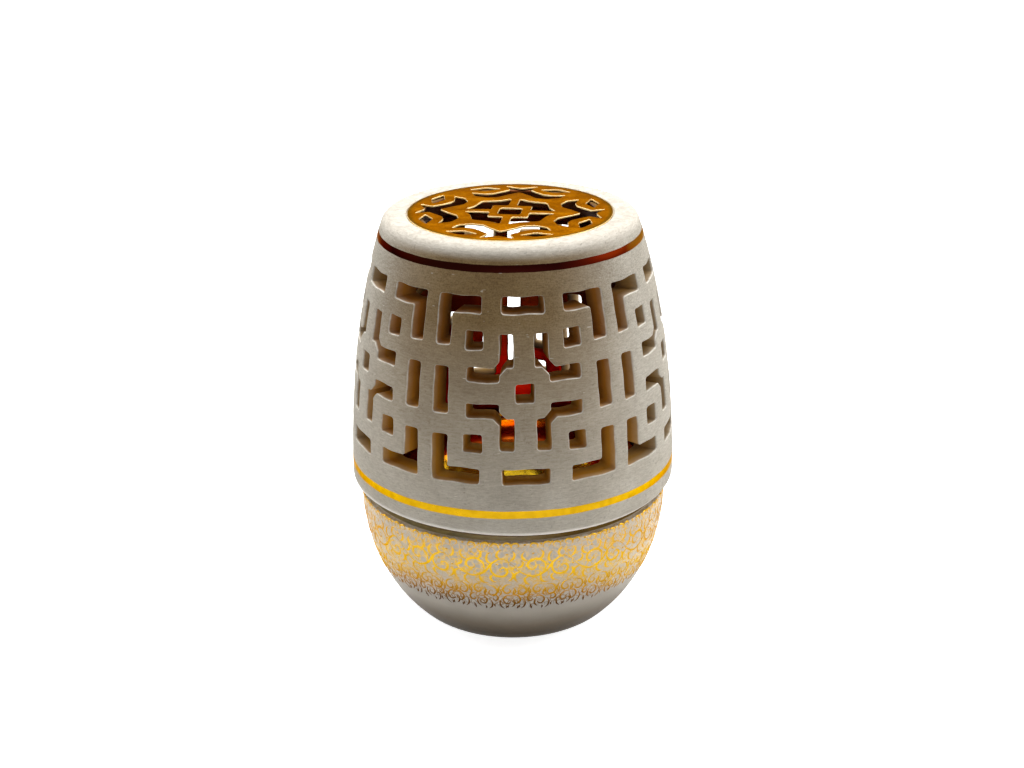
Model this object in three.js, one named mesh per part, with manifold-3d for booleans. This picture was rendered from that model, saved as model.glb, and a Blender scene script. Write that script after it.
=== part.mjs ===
// Ceramic incense burner, egg-shaped, in four loose pieces: a glazed bowl,
// a polished charcoal dish that hangs in the bowl's mouth, a pierced cover
// that stands on the bowl's rim, and a pierced metal grille let into the
// cover's crown.
// Units are millimetres, +Z is up, the front faces -Y, and the origin is the
// middle of the foot, on the table.

import * as THREE from 'three';
import { mergeVertices } from 'three/addons/utils/BufferGeometryUtils.js';
import Module from 'manifold-3d';

const wasm = await Module();
wasm.setup();

// Fits and cuts
const seatGap = 0.3;             // between a piece and what it rests on
const cutOverrun = 2;            // how far a cutter reaches past the wall it opens

// Bowl
const bowlHeight = 50;           // table to the rim that carries the cover
const bowlRimRadius = 52.2;
const bowlFootRadius = 28.5;     // where the side would meet the table, without its rounding
const footRingWidth = 4.5;
const footRecess = 1.2;          // hollow inside the foot ring
const footRounding = 5;
const bowlFloor = 9;             // thickness at the middle of the floor
const rimStepHeight = 1.8;       // step under the rim, in the shadow of the cover's lip
const rimStepDepth = 1.8;
const collarHeight = 3;          // collar that keeps the cover centred
const collarWidth = 4.2;
const collarClearance = 0.8;     // between the collar and the cover's bore

// Cover
const coverHeight = 94;
const lipSetback = 0.5;          // how far the cover's lower edge stands back from the bowl's rim
const bellyOverhang = 2.8;       // how far the burner's widest place stands out over that rim
const bellyRise = 4;             // height of the belly above the lower edge
const coverWall = 8.5;
const crownRoundRadius = 3.5;    // round between the side and the flat top
const crownFlatWidth = 4.9;      // flat ring between that round and the rebate
const crownLean = THREE.MathUtils.degToRad(18);     // lean of the side where the round starts
const ledgeWidth = 5.5;          // ledge that carries the grille
const ledgeThickness = 6;
const vaultRadius = 5;           // inside round under the ledge

// Lattice cut through the cover
const panelCount = 5;
const panelRise = 19.4;          // lower edge of the cover to the lowest slots
const panelDrop = 14.6;          // crown to the highest slots
const pillarWidth = 5.6;         // plain strip between two panels, at the belly
const panelTurn = THREE.MathUtils.degToRad(4.5);    // first panel's middle, from the front

// Grille
const grilleRadius = 33.9;
const grilleThickness = 0.6;
const grilleClearance = 0.4;     // between its edge and the rebate
const grilleTurn = THREE.MathUtils.degToRad(-8);
const grilleCorner = 0.35;

// Charcoal dish
const dishDepth = 27.3;
const dishSheet = 1.2;
const dishClearance = 0.8;       // between its side and the bowl's collar
const dishFootRadius = 14;
const flangeWidth = 2.8;         // how far the flange reaches over the collar
const beadRadius = 1.1;          // rolled edge of the flange

// Facets: how many straight steps stand for a round
const coverSteps = 50;
const bowlSteps = 48;
const dishSteps = 40;
const grilleSteps = 72;

// Places that follow from the sizes above
const coverFoot = bowlHeight + seatGap;
const coverTop = coverFoot + coverHeight;
const coverFootRadius = bowlRimRadius - lipSetback;
const bellyRadius = bowlRimRadius + bellyOverhang;
const panelHeight = coverHeight - panelRise - panelDrop;
const coverBore = bellyRadius - coverWall;
const collarRadius = coverBore - collarClearance;
const bowlMouthRadius = collarRadius - collarWidth;
const collarTop = bowlHeight + collarHeight;
const rebateRadius = grilleRadius + grilleClearance;
const rebateDepth = grilleThickness + seatGap;
const flangeUnderside = collarTop + seatGap;
const meanRadius = bellyRadius - coverWall / 2;

/** Radius of a quarter ellipse at a height measured from its widest place. */
function ellipseRadius(widest, reach, height) {
  return widest * Math.sqrt(Math.max(0, 1 - (height / reach) ** 2));
}

/** Reach of the ellipse that is `widest` wide and narrows to `radius` at `height`. */
function reachThrough(widest, radius, height) {
  return height / Math.sqrt(1 - (radius / widest) ** 2);
}

/** Points of an ellipse's side between two angles, measured from its widest place. */
function ellipseArc(widest, reach, middle, fromAngle, toAngle, steps) {
  const points = [];
  for (let i = 0; i <= steps; i += 1) {
    const angle = THREE.MathUtils.lerp(fromAngle, toAngle, i / steps);
    points.push([widest * Math.cos(angle), middle + reach * Math.sin(angle)]);
  }
  return points;
}

/** Points of a round of one radius about a centre, between two angles. */
function roundArc(centreRadius, centreHeight, radius, fromAngle, toAngle, steps) {
  const points = [];
  for (let i = 0; i <= steps; i += 1) {
    const angle = THREE.MathUtils.lerp(fromAngle, toAngle, i / steps);
    points.push([centreRadius + radius * Math.cos(angle), centreHeight + radius * Math.sin(angle)]);
  }
  return points;
}

/** Angle up the side of an ellipse at which it reaches a height. */
function angleAt(reach, height) {
  return Math.asin(THREE.MathUtils.clamp(height / reach, -1, 1));
}

/** Turns a profile of [radius, height] points about the upright axis. */
function turned(profile, steps) {
  const points = profile.map(([radius, height]) => new THREE.Vector2(radius, height));
  const geometry = new THREE.LatheGeometry(points, steps);
  geometry.rotateX(Math.PI / 2);
  return geometry;
}

/** A closed geometry as a solid that can be joined and cut. */
function toSolid(geometry) {
  const bare = geometry.clone();
  bare.deleteAttribute('normal');
  bare.deleteAttribute('uv');
  const merged = mergeVertices(bare);
  return new wasm.Manifold(new wasm.Mesh({
    numProp: 3,
    vertProperties: new Float32Array(merged.attributes.position.array),
    triVerts: new Uint32Array(merged.index.array),
  }));
}

/** A solid as a geometry again. */
function toGeometry(solid) {
  const mesh = solid.getMesh();
  const geometry = new THREE.BufferGeometry();
  geometry.setAttribute('position', new THREE.BufferAttribute(mesh.vertProperties, 3));
  geometry.setIndex(new THREE.BufferAttribute(mesh.triVerts, 1));
  geometry.computeVertexNormals();
  return geometry;
}

/** Draws a closed outline into a shape or hole, with each corner cut by a small round. */
function roundedOutline(target, corners, radius) {
  const count = corners.length;
  for (let i = 0; i < count; i += 1) {
    const before = corners[(i + count - 1) % count];
    const corner = corners[i];
    const after = corners[(i + 1) % count];
    const reachIn = Math.min(radius, corner.distanceTo(before) / 3);
    const reachOut = Math.min(radius, corner.distanceTo(after) / 3);
    const start = corner.clone().lerp(before, reachIn / corner.distanceTo(before));
    const end = corner.clone().lerp(after, reachOut / corner.distanceTo(after));
    if (i === 0) {
      target.moveTo(start.x, start.y);
    } else {
      target.lineTo(start.x, start.y);
    }
    target.quadraticCurveTo(corner.x, corner.y, end.x, end.y);
  }
  target.closePath();
  return target;
}

/** Power that makes the bowl's side a little fuller than an ellipse, whose power is 2. */
const sidePowerShare = 2.16;

/** Places of the points down the bowl's side, as shares of the way from the step to the table. */
const sideDropShares = [0, 0.16, 0.31, 0.45, 0.57, 0.68, 0.77, 0.84, 0.9, 0.945, 0.98, 1];

/** Outer radius of the bowl at a depth below its rim, drawn in by the round at its foot. */
function bowlSideRadius(drop) {
  const footShare = (bowlFootRadius / bowlRimRadius) ** 2;
  const reach = bowlHeight / (1 - footShare) ** (1 / sidePowerShare);
  const side = bowlRimRadius * Math.sqrt(1 - (drop / reach) ** sidePowerShare);
  const intoRound = Math.max(0, drop - (bowlHeight - footRounding));
  return side - footRounding + Math.sqrt(footRounding ** 2 - intoRound ** 2);
}

/** Outer profile of the bowl: a full oval side between the foot and the step under the rim. */
function bowlOutside() {
  const stepRadius = bowlSideRadius(rimStepHeight) - rimStepDepth;
  const side = sideDropShares.map((share) => {
    const drop = THREE.MathUtils.lerp(rimStepHeight, bowlHeight, share);
    return [bowlSideRadius(drop), bowlHeight - drop];
  }).reverse();
  return [...side, [stepRadius, bowlHeight - rimStepHeight], [stepRadius, bowlHeight]];
}

/** Glazed bowl with a foot ring, a flat rim for the cover and a collar inside it. */
function bowlGeometry() {
  const ringInside = bowlFootRadius - footRounding - footRingWidth;
  const inside = ellipseArc(
    bowlMouthRadius, bowlHeight - bowlFloor, bowlHeight, 0, -Math.PI / 2, 8,
  );
  const profile = [
    [0, footRecess],
    [ringInside, footRecess],
    [ringInside, 0],
    ...bowlOutside(),
    [collarRadius, bowlHeight],
    [collarRadius, collarTop],
    [bowlMouthRadius, collarTop],
    ...inside.slice(0, -1),
    [0, bowlFloor],
  ];
  return turned(profile, bowlSteps);
}

/** Polished dish with a flat foot, an oval hollow and a flange with a rolled edge. */
function dishGeometry() {
  const sideRadius = bowlMouthRadius - dishClearance;
  const dishFoot = flangeUnderside - dishDepth;
  const footAngle = Math.acos(dishFootRadius / sideRadius);
  const hollowDepth = dishDepth * Math.sin(footAngle);
  const outside = ellipseArc(
    sideRadius, dishDepth / Math.sin(footAngle), flangeUnderside, -footAngle, 0, 7,
  );
  const hollowReach = hollowDepth / Math.sin(footAngle) ** 2;
  const hollowFoot = dishFoot + dishSheet;
  const hollowRadius = sideRadius - dishSheet;
  const flangeTop = flangeUnderside + dishSheet;
  const hollowAngle = Math.asin((flangeTop - hollowFoot) / hollowReach);
  const hollow = ellipseArc(hollowRadius, hollowReach, flangeTop, 0, -hollowAngle, 7);
  const beadCentre = bowlMouthRadius + flangeWidth - beadRadius;
  const beadHeight = flangeUnderside + beadRadius;
  const profile = [
    [0, dishFoot],
    ...outside,
    ...roundArc(beadCentre, beadHeight, beadRadius, -Math.PI / 2, Math.PI / 2, 5),
    [beadCentre - beadRadius, flangeTop],
    ...hollow,
    [0, hollowFoot],
  ];
  return turned(profile, dishSteps);
}

/** Height of the middle of the round between the cover's side and its top. */
const crownRoundHeight = coverTop - crownRoundRadius;
const crownRoundCentre = rebateRadius + crownFlatWidth;
const leanRadius = crownRoundCentre + crownRoundRadius * Math.cos(crownLean);
const leanHeight = crownRoundHeight + crownRoundRadius * Math.sin(crownLean);
const bellyHeight = coverFoot + bellyRise;
const sideReach = reachThrough(bellyRadius, leanRadius, leanHeight - bellyHeight);

/** Outer profile of the cover from its lower edge to the rebate in its top. */
function coverOutside() {
  const skirtReach = reachThrough(bellyRadius, coverFootRadius, bellyRise);
  const skirt = ellipseArc(
    bellyRadius, skirtReach, bellyHeight, angleAt(skirtReach, -bellyRise), 0, 5,
  );
  const side = ellipseArc(
    bellyRadius, sideReach, bellyHeight, 0, angleAt(sideReach, leanHeight - bellyHeight), 8,
  );
  const crown = roundArc(
    crownRoundCentre, crownRoundHeight, crownRoundRadius, crownLean, Math.PI / 2, 5,
  );
  return [...skirt, ...side.slice(1), ...crown.slice(1)];
}

/** Inner profile of the cover from the rebate down to its lower edge. */
function coverInside() {
  const ledgeRadius = rebateRadius - ledgeWidth;
  const ledgeTop = coverTop - rebateDepth;
  const ledgeUnderside = ledgeTop - ledgeThickness;
  const vaultHeight = ledgeUnderside - vaultRadius;
  const wallTop = ellipseRadius(bellyRadius, sideReach, vaultHeight - bellyHeight) - coverWall;
  const vault = roundArc(wallTop - vaultRadius, vaultHeight, vaultRadius, Math.PI / 2, 0, 3);
  const wall = ellipseArc(
    bellyRadius, sideReach, bellyHeight, angleAt(sideReach, vaultHeight - bellyHeight), 0, 5,
  ).map(([radius, height]) => [radius - coverWall, height]);
  return [
    [rebateRadius, coverTop],
    [rebateRadius, ledgeTop],
    [ledgeRadius, ledgeTop],
    [ledgeRadius, ledgeUnderside],
    ...vault,
    ...wall.slice(1),
    [coverBore, coverFoot],
  ];
}

// One panel of the lattice, in shares of its half width and half height from
// its middle. The same motif stands in all four quarters, mirrored.
const frameOuterShare = 1;
const frameInnerShare = 0.825;
const frameArmEndShare = 0.48;
const eyeShares = [0.45, 0.652];
const hookArmEndShare = 0.625;
const hookNearShare = 0.115;
const hookFarShare = 0.27;
const hookBevelShare = 0.335;
const bossBevelShare = 0.19;
const edgeBarHalfShare = 0.25;
const centreHalfShare = 0.103;

/** The four-cornered slot between two places across and two places up. */
function slotBox(left, right, low, high) {
  return [[left, low], [right, low], [right, high], [left, high]];
}

/** Slots of the upper right quarter of a panel, each a list of corner shares. */
function quarterSlots() {
  const corner = [
    [frameOuterShare, frameOuterShare],
    [frameArmEndShare, frameOuterShare],
    [frameArmEndShare, frameInnerShare],
    [frameInnerShare, frameInnerShare],
    [frameInnerShare, frameArmEndShare],
    [frameOuterShare, frameArmEndShare],
  ];
  const hook = [
    [hookArmEndShare, hookNearShare],
    [hookArmEndShare, hookFarShare],
    [hookBevelShare, hookFarShare],
    [hookFarShare, hookBevelShare],
    [hookFarShare, hookArmEndShare],
    [hookNearShare, hookArmEndShare],
    [hookNearShare, hookFarShare],
    [bossBevelShare, hookFarShare],
    [hookFarShare, bossBevelShare],
    [hookFarShare, hookNearShare],
  ];
  const eye = slotBox(eyeShares[0], eyeShares[1], eyeShares[0], eyeShares[1]);
  return [corner, hook, eye];
}

/** Every slot of a panel: four mirrored quarters, four edge bars and the centre. */
function panelSlots() {
  const slots = [];
  for (const across of [-1, 1]) {
    for (const up of [-1, 1]) {
      for (const slot of quarterSlots()) {
        slots.push(slot.map(([x, y]) => [across * x, up * y]));
      }
    }
  }
  const bar = edgeBarHalfShare;
  for (const side of [-1, 1]) {
    const near = side * frameInnerShare;
    const far = side * frameOuterShare;
    slots.push(slotBox(-bar, bar, near, far));
    slots.push(slotBox(near, far, -bar, bar));
  }
  const half = centreHalfShare;
  slots.push(slotBox(-half, half, -half, half));
  return slots;
}

/** Wedge that cuts one slot: its outline carried outwards from the axis side. */
function slotCutter(slot, panelAngle) {
  const panelHalfAngle = Math.PI / panelCount - pillarWidth / 2 / bellyRadius;
  const halfWidth = panelHalfAngle * meanRadius;
  const halfHeight = panelHeight / 2;
  const middle = coverFoot + panelRise + halfHeight;
  const corners = slot.map(([x, y]) => new THREE.Vector2(x * halfWidth, y * halfHeight));
  const shape = new THREE.Shape(corners);
  const innerRadius = rebateRadius - ledgeWidth;
  const depth = bellyRadius + cutOverrun - innerRadius;
  const geometry = new THREE.ExtrudeGeometry(shape, { depth, bevelEnabled: false });
  const position = geometry.attributes.position;
  for (let i = 0; i < position.count; i += 1) {
    const angle = panelAngle + position.getX(i) / meanRadius;
    const radius = innerRadius + position.getZ(i);
    const height = middle + position.getY(i);
    position.setXYZ(i, radius * Math.sin(angle), -radius * Math.cos(angle), height);
  }
  return geometry;
}

/** Pierced cover: a turned shell with five lattice panels cut through its side. */
function coverGeometry() {
  const inside = coverInside();
  const outside = coverOutside();
  let shell = toSolid(turned([...inside, ...outside, inside[0]], coverSteps));
  for (let panel = 0; panel < panelCount; panel += 1) {
    const panelAngle = panelTurn + (2 * Math.PI * panel) / panelCount;
    for (const slot of panelSlots()) {
      shell = shell.subtract(toSolid(slotCutter(slot, panelAngle)));
    }
  }
  return toGeometry(shell);
}

// The grille's pattern, in shares of its radius, for the quarter about its upper
// spoke. Each quarter repeats it, turned by a right angle.
const ringHoleHalfShare = 0.105;
const cornerHoleShares = [
  [0.042, 0.195], [0.195, 0.195], [0.195, 0.042], [0.44, 0.042],
  [0.37, 0.15], [0.325, 0.325], [0.15, 0.37], [0.042, 0.44],
];
const archHalfShares = [
  [0.1, 0.6], [0.19, 0.5], [0.3, 0.475], [0.42, 0.525], [0.465, 0.615],
  [0.33, 0.582], [0.24, 0.605], [0.15, 0.7], [0.09, 0.775], [0.155, 0.905],
];
const archNotchShares = [[0, 0.84], [0, 0.69]];
const leafShares = [[0.2, 0.795], [0.345, 0.715], [0.515, 0.745], [0.36, 0.825]];

/** One quarter's holes about the upper spoke: a corner hole, an arch and two leaves. */
function grilleQuarter() {
  const mirrored = archHalfShares.map(([x, y]) => [-x, y]).reverse();
  const arch = [archNotchShares[1], ...archHalfShares, archNotchShares[0], ...mirrored];
  const leaves = [1, -1].map((side) => leafShares.map(([x, y]) => [side * x, y]));
  return [cornerHoleShares, arch, ...leaves];
}

/** Thin metal disc pierced with a square, four corner holes, four arches and eight leaves. */
function grilleGeometry() {
  const disc = new THREE.Shape();
  disc.absarc(0, 0, grilleRadius, 0, 2 * Math.PI, false);
  const half = ringHoleHalfShare;
  const holes = [slotBox(-half, half, -half, half)];
  const quarters = 4;
  for (let quarter = 0; quarter < quarters; quarter += 1) {
    const turn = (2 * Math.PI * quarter) / quarters;
    for (const hole of grilleQuarter()) {
      holes.push(hole.map(([x, y]) => [
        x * Math.cos(turn) - y * Math.sin(turn),
        x * Math.sin(turn) + y * Math.cos(turn),
      ]));
    }
  }
  const outline = new THREE.Shape(disc.getPoints(grilleSteps / 2));
  for (const hole of holes) {
    const corners = hole.map(([x, y]) => new THREE.Vector2(x * grilleRadius, y * grilleRadius));
    outline.holes.push(roundedOutline(new THREE.Path(), corners, grilleCorner));
  }
  const geometry = new THREE.ExtrudeGeometry(outline, {
    depth: grilleThickness, bevelEnabled: false, curveSegments: 1,
  });
  geometry.rotateZ(grilleTurn);
  return geometry;
}

const glazedCeramic = new THREE.MeshStandardMaterial({ color: '#dcdad2', roughness: 0.18, metalness: 0 });
const matteCeramic = new THREE.MeshStandardMaterial({ color: '#cfc9bc', roughness: 0.75, metalness: 0 });
const polishedGold = new THREE.MeshStandardMaterial({ color: '#e0a526', roughness: 0.15, metalness: 1 });
const satinGold = new THREE.MeshStandardMaterial({ color: '#c8820a', roughness: 0.35, metalness: 1 });

/** A named piece of the burner. */
function piece(name, geometry, material) {
  const mesh = new THREE.Mesh(geometry, material);
  mesh.name = name;
  return mesh;
}

const bowl = piece('bowl', bowlGeometry(), glazedCeramic);
const charcoalDish = piece('charcoal_dish', dishGeometry(), polishedGold);
const cover = piece('pierced_cover', coverGeometry(), matteCeramic);
const grille = piece('grille', grilleGeometry(), satinGold);
grille.position.z = coverTop - grilleThickness;

const burner = new THREE.Group();
burner.add(bowl, charcoalDish, cover, grille);

export default burner;
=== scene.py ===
"""Ceramic incense burner: glazed bowl, charcoal dish, pierced cover and grille.

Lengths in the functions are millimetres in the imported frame: +Z up, the front
at -Y, the origin in the middle of the foot. They become metres where a mesh is
made. "Unrolled" means the ceramic wall laid flat: across is the angle times a
radius, up is the height.
"""

import math

import bmesh
import bpy
import numpy as np
from mathutils import Matrix, Vector
from mathutils.geometry import delaunay_2d_cdt


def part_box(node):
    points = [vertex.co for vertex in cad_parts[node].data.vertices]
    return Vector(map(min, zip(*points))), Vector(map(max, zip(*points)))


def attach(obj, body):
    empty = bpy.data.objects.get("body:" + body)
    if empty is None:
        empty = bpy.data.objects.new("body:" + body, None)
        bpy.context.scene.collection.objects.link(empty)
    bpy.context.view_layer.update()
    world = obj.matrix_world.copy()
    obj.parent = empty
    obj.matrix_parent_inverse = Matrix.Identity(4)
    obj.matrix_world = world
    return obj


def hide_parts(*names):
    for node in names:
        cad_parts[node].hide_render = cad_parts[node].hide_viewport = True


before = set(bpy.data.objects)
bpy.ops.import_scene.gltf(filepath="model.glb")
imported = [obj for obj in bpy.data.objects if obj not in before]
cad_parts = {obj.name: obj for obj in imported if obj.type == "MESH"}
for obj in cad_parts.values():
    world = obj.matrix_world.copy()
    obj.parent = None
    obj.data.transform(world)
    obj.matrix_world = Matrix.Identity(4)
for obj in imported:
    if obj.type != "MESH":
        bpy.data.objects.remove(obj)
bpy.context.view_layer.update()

MM = 0.001

# Sizes read from the frame
cover_low, cover_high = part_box("pierced_cover")
dish_low, dish_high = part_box("charcoal_dish")
grille_low, grille_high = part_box("grille")
COVER_FOOT = cover_low.z / MM
COVER_TOP = cover_high.z / MM
BELLY_RADIUS = cover_high.y / MM
COLLAR_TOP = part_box("bowl")[1].z / MM
DISH_FOOT = dish_low.z / MM
DISH_BEAD_RADIUS = dish_high.y / MM
GRILLE_THICKNESS = (grille_high.z - grille_low.z) / MM

# Sizes of the real pieces
SEAT_GAP = 0.3        # between a piece and the one that it rests on
BOWL_HEIGHT = COVER_FOOT - SEAT_GAP
BOWL_RIM_RADIUS = 52.2
BOWL_FOOT_RADIUS = 28.5
FOOT_ROUNDING = 5
SIDE_POWER = 2.16     # a little fuller than an ellipse, whose power is 2
FOOT_RING_WIDTH = 4.5
FOOT_RECESS = 1.2
BOWL_FLOOR = 9
RIM_STEP_HEIGHT = 1.8
RIM_STEP_DEPTH = 1.8
COVER_FOOT_RADIUS = 51.7
BELLY_RISE = 4
COVER_WALL = 8.5
EDGE_RISE = 2         # how much higher the skirt's edge is on the left than on the right
COLLAR_CLEARANCE = 0.8
COLLAR_WIDTH = 4.2
CROWN_ROUND = 3.5
CROWN_FLAT = 4.9      # from the rebate to the start of the crown's round
CROWN_LEAN = math.radians(18)
LEDGE_WIDTH = 5.5
LEDGE_THICKNESS = 6
VAULT_RADIUS = 5
GRILLE_RADIUS = 33.9
GRILLE_CLEARANCE = 0.4
GRILLE_TURN = math.radians(-8)
PANEL_COUNT = 5
PANEL_HEIGHT = 60
PANEL_RISE = 19.4     # from the cover's foot to the panels
PILLAR_WIDTH = 5.6    # between two panels
PANEL_TURN = math.radians(4.5)
SLOT_CORNER = 0.8     # rounding of the slots' corners, in the unrolled wall
SLOT_LIP = 0.35       # rounding of the slots' edges, where they meet the wall's faces
DISH_SHEET = 1.2
DISH_CLEARANCE = 0.8
DISH_FOOT_RADIUS = 14
DISH_BEAD = 1.1

# Meshes
COLUMNS = 240         # points round a turned piece
MESH_STEP = 1.35      # spacing of the pierced wall's points
SLOT_STEP = 1.2       # spacing of the points along a slot's outline
CORNER_STEPS = 4      # steps of a slot's square corner
MARGIN = 2            # plain wall above and below the slots that is meshed with them

# Places that follow
BELLY_HEIGHT = COVER_FOOT + BELLY_RISE
COVER_BORE = BELLY_RADIUS - COVER_WALL
COLLAR_RADIUS = COVER_BORE - COLLAR_CLEARANCE
MOUTH_RADIUS = COLLAR_RADIUS - COLLAR_WIDTH
REBATE_RADIUS = GRILLE_RADIUS + GRILLE_CLEARANCE
CROWN_CENTRE = REBATE_RADIUS + CROWN_FLAT
LEAN_RADIUS = CROWN_CENTRE + CROWN_ROUND * math.cos(CROWN_LEAN)
LEAN_HEIGHT = COVER_TOP - CROWN_ROUND + CROWN_ROUND * math.sin(CROWN_LEAN)
MEAN_RADIUS = BELLY_RADIUS - COVER_WALL / 2
PANEL_MIDDLE = COVER_FOOT + PANEL_RISE + PANEL_HEIGHT / 2
PIERCED_LOW = PANEL_MIDDLE - PANEL_HEIGHT / 2 - MARGIN
PIERCED_HIGH = PANEL_MIDDLE + PANEL_HEIGHT / 2 + MARGIN
STEP_HEIGHT = BOWL_HEIGHT - RIM_STEP_HEIGHT
STEP_RADIUS = BOWL_RIM_RADIUS - RIM_STEP_DEPTH


def reach_through(widest, radius, height):
    """Upright half axis of an ellipse whose radius is `widest`, and `radius` at `height`."""
    return height / math.sqrt(1 - (radius / widest) ** 2)


BOWL_REACH = BOWL_HEIGHT / (1 - (BOWL_FOOT_RADIUS / BOWL_RIM_RADIUS) ** 2) ** (1 / SIDE_POWER)
SKIRT_REACH = reach_through(BELLY_RADIUS, COVER_FOOT_RADIUS, BELLY_RISE)
SIDE_REACH = reach_through(BELLY_RADIUS, LEAN_RADIUS, LEAN_HEIGHT - BELLY_HEIGHT)


def cover_radius(height):
    """Cover's outer radius: a short ellipse below the belly, a tall one above it."""
    rise = height - BELLY_HEIGHT
    reach = np.where(rise < 0, SKIRT_REACH, SIDE_REACH)
    return BELLY_RADIUS * np.sqrt(1 - (rise / reach) ** 2)


def bowl_radius(height):
    """Bowl's outer radius: a full oval that is widest at the rim and rounded in at the foot."""
    drop = BOWL_HEIGHT - height
    side = BOWL_RIM_RADIUS * np.sqrt(1 - (drop / BOWL_REACH) ** SIDE_POWER)
    into_round = np.maximum(0, drop - (BOWL_HEIGHT - FOOT_ROUNDING))
    return side - FOOT_ROUNDING + np.sqrt(FOOT_ROUNDING ** 2 - into_round ** 2)


def arc(centre, size, start, end, steps):
    """Points of a round or, for a pair of half axes, an ellipse, between two angles."""
    angle = np.linspace(start, end, steps + 1)
    return np.stack([np.cos(angle), np.sin(angle)], 1) * size + centre


def softened(corners, size, steps=4, sharpest=25):
    """Open profile with each corner that turns more than `sharpest` degrees cut by a round.

    The round is the quadratic curve a(1-t)^2 + 2ct(1-t) + bt^2 between two points
    that lie `size` from the corner c, or a third of the side where that is less.
    """
    corners = np.asarray(corners, float)
    share = np.linspace(0, 1, steps + 1)[:, None]
    made = [corners[:1]]
    for before, corner, after in zip(corners[:-2], corners[1:-1], corners[2:]):
        back, ahead = before - corner, after - corner
        long_back, long_ahead = np.linalg.norm(back), np.linalg.norm(ahead)
        turn = math.degrees(math.acos(np.clip(-back @ ahead / (long_back * long_ahead), -1, 1)))
        if turn < sharpest:
            made.append(corner[None])
            continue
        start = corner + back / long_back * min(size, long_back / 3)
        end = corner + ahead / long_ahead * min(size, long_ahead / 3)
        made.append(start * (1 - share) ** 2 + 2 * corner * share * (1 - share) + end * share ** 2)
    made.append(corners[-1:])
    return np.concatenate(made)


def spun(flat, turn):
    """Flat points turned anticlockwise about the origin."""
    cos, sin = math.cos(turn), math.sin(turn)
    return flat @ [[cos, sin], [-sin, cos]]


def about_axis(radius, angle, height):
    """Points (r sin a, -r cos a, height), so that angle 0 faces the front."""
    across, along = radius * np.sin(angle), -radius * np.cos(angle)
    return np.stack([across, along, height + 0 * across], -1)


def turned_points(profile):
    """Profile of [radius, height] carried round the axis."""
    angle = np.arange(COLUMNS) * 2 * math.pi / COLUMNS
    return about_axis(profile[:, :1], angle, profile[:, 1:]).reshape(-1, 3)


def grid_faces(rows, columns, rows_close=False):
    """Quads between neighbouring rows of a grid whose columns close on themselves."""
    row, column = np.meshgrid(
        np.arange(rows if rows_close else rows - 1), np.arange(columns), indexing="ij")
    next_row = (row + 1) % rows
    next_column = (column + 1) % columns
    corners = [
        row * columns + column, row * columns + next_column,
        next_row * columns + next_column, next_row * columns + column]
    return np.stack(corners, -1).reshape(-1, 4)


def joined(parts):
    """One array of points and one list of faces from several (points, faces) parts."""
    points, faces = [], []
    start = 0
    for part_points, part_faces in parts:
        points.append(part_points)
        faces += list(part_faces + start)
        start += len(part_points)
    return np.concatenate(points), faces


def clean_mesh(mesh, nearest, sharp_degrees):
    """Merges points nearer than `nearest`, turns faces outwards, shades up to an angle smooth."""
    work = bmesh.new()
    work.from_mesh(mesh)
    bmesh.ops.remove_doubles(work, verts=work.verts, dist=nearest * MM)
    bmesh.ops.recalc_face_normals(work, faces=work.faces)
    work.to_mesh(mesh)
    work.free()
    mesh.shade_smooth()
    mesh.set_sharp_from_angle(angle=math.radians(sharp_degrees))


def values_of(items, name, kind, width=1):
    """Values of one property of every item in a mesh's collection."""
    values = np.empty(len(items) * width, kind)
    items.foreach_get(name, values)
    return values


def add_object(name, data):
    """New object with this data, in the scene."""
    thing = bpy.data.objects.new(name, data)
    bpy.context.scene.collection.objects.link(thing)
    return thing


def make_piece(name, points, faces, body, finish, nodes=(), marks=None):
    """Closed mesh piece from millimetre points, on a body, in place of the nodes if any.

    `marks` holds point attributes by name, such as how deep in the wall a point lies.
    """
    mesh = bpy.data.meshes.new(name)
    mesh.from_pydata((np.asarray(points) * MM).tolist(), [], [f.tolist() for f in faces])
    for mark, values in (marks or {}).items():
        attribute = mesh.attributes.new(mark, "FLOAT", "POINT")
        attribute.data.foreach_set("value", np.asarray(values, np.float32))
    clean_mesh(mesh, 0.004, 50)
    mesh.materials.append(finish)
    piece = add_object(name, mesh)
    if nodes:
        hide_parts(*nodes)
    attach(piece, body)
    return piece


# Materials

# Settings of nodes. A Mix node of colours takes its share at input 0 and its colours at
# inputs 6 and 7, and gives the mixed colour at output 2.
MIX = {"data_type": "RGBA"}
DARKEN = {"data_type": "RGBA", "blend_type": "MULTIPLY"}
TIMES = {"operation": "MULTIPLY"}
SMOOTH = {"interpolation_type": "SMOOTHSTEP"}

FRONT = (-0.15, -0.989, 0)       # the front; painted shade and painted reflections change with how far a side faces it

# Stops of the bowl's gold, and the heights between which they lie; dark low down as painted
# reflection
BOWL_GOLD = [
    (0, "#241604"), (0.14, "#54380a"), (0.3, "#94680f"), (0.48, "#b48a14"), (0.72, "#c39a12"),
    (1, "#b78d27")], 20, 47


def linear(hex_colour):
    """sRGB hex to a linear colour with alpha 1."""
    parts = [int(hex_colour[i:i + 2], 16) / 255 for i in (1, 3, 5)]
    return (*(p / 12.92 if p <= 0.04045 else ((p + 0.055) / 1.055) ** 2.4 for p in parts), 1)


def give(tree, socket, value):
    """Links an input to an output, or sets it to a value or a hex colour."""
    if isinstance(value, bpy.types.NodeSocket):
        tree.links.new(value, socket)
    else:
        socket.default_value = linear(value) if isinstance(value, str) else value


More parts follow.
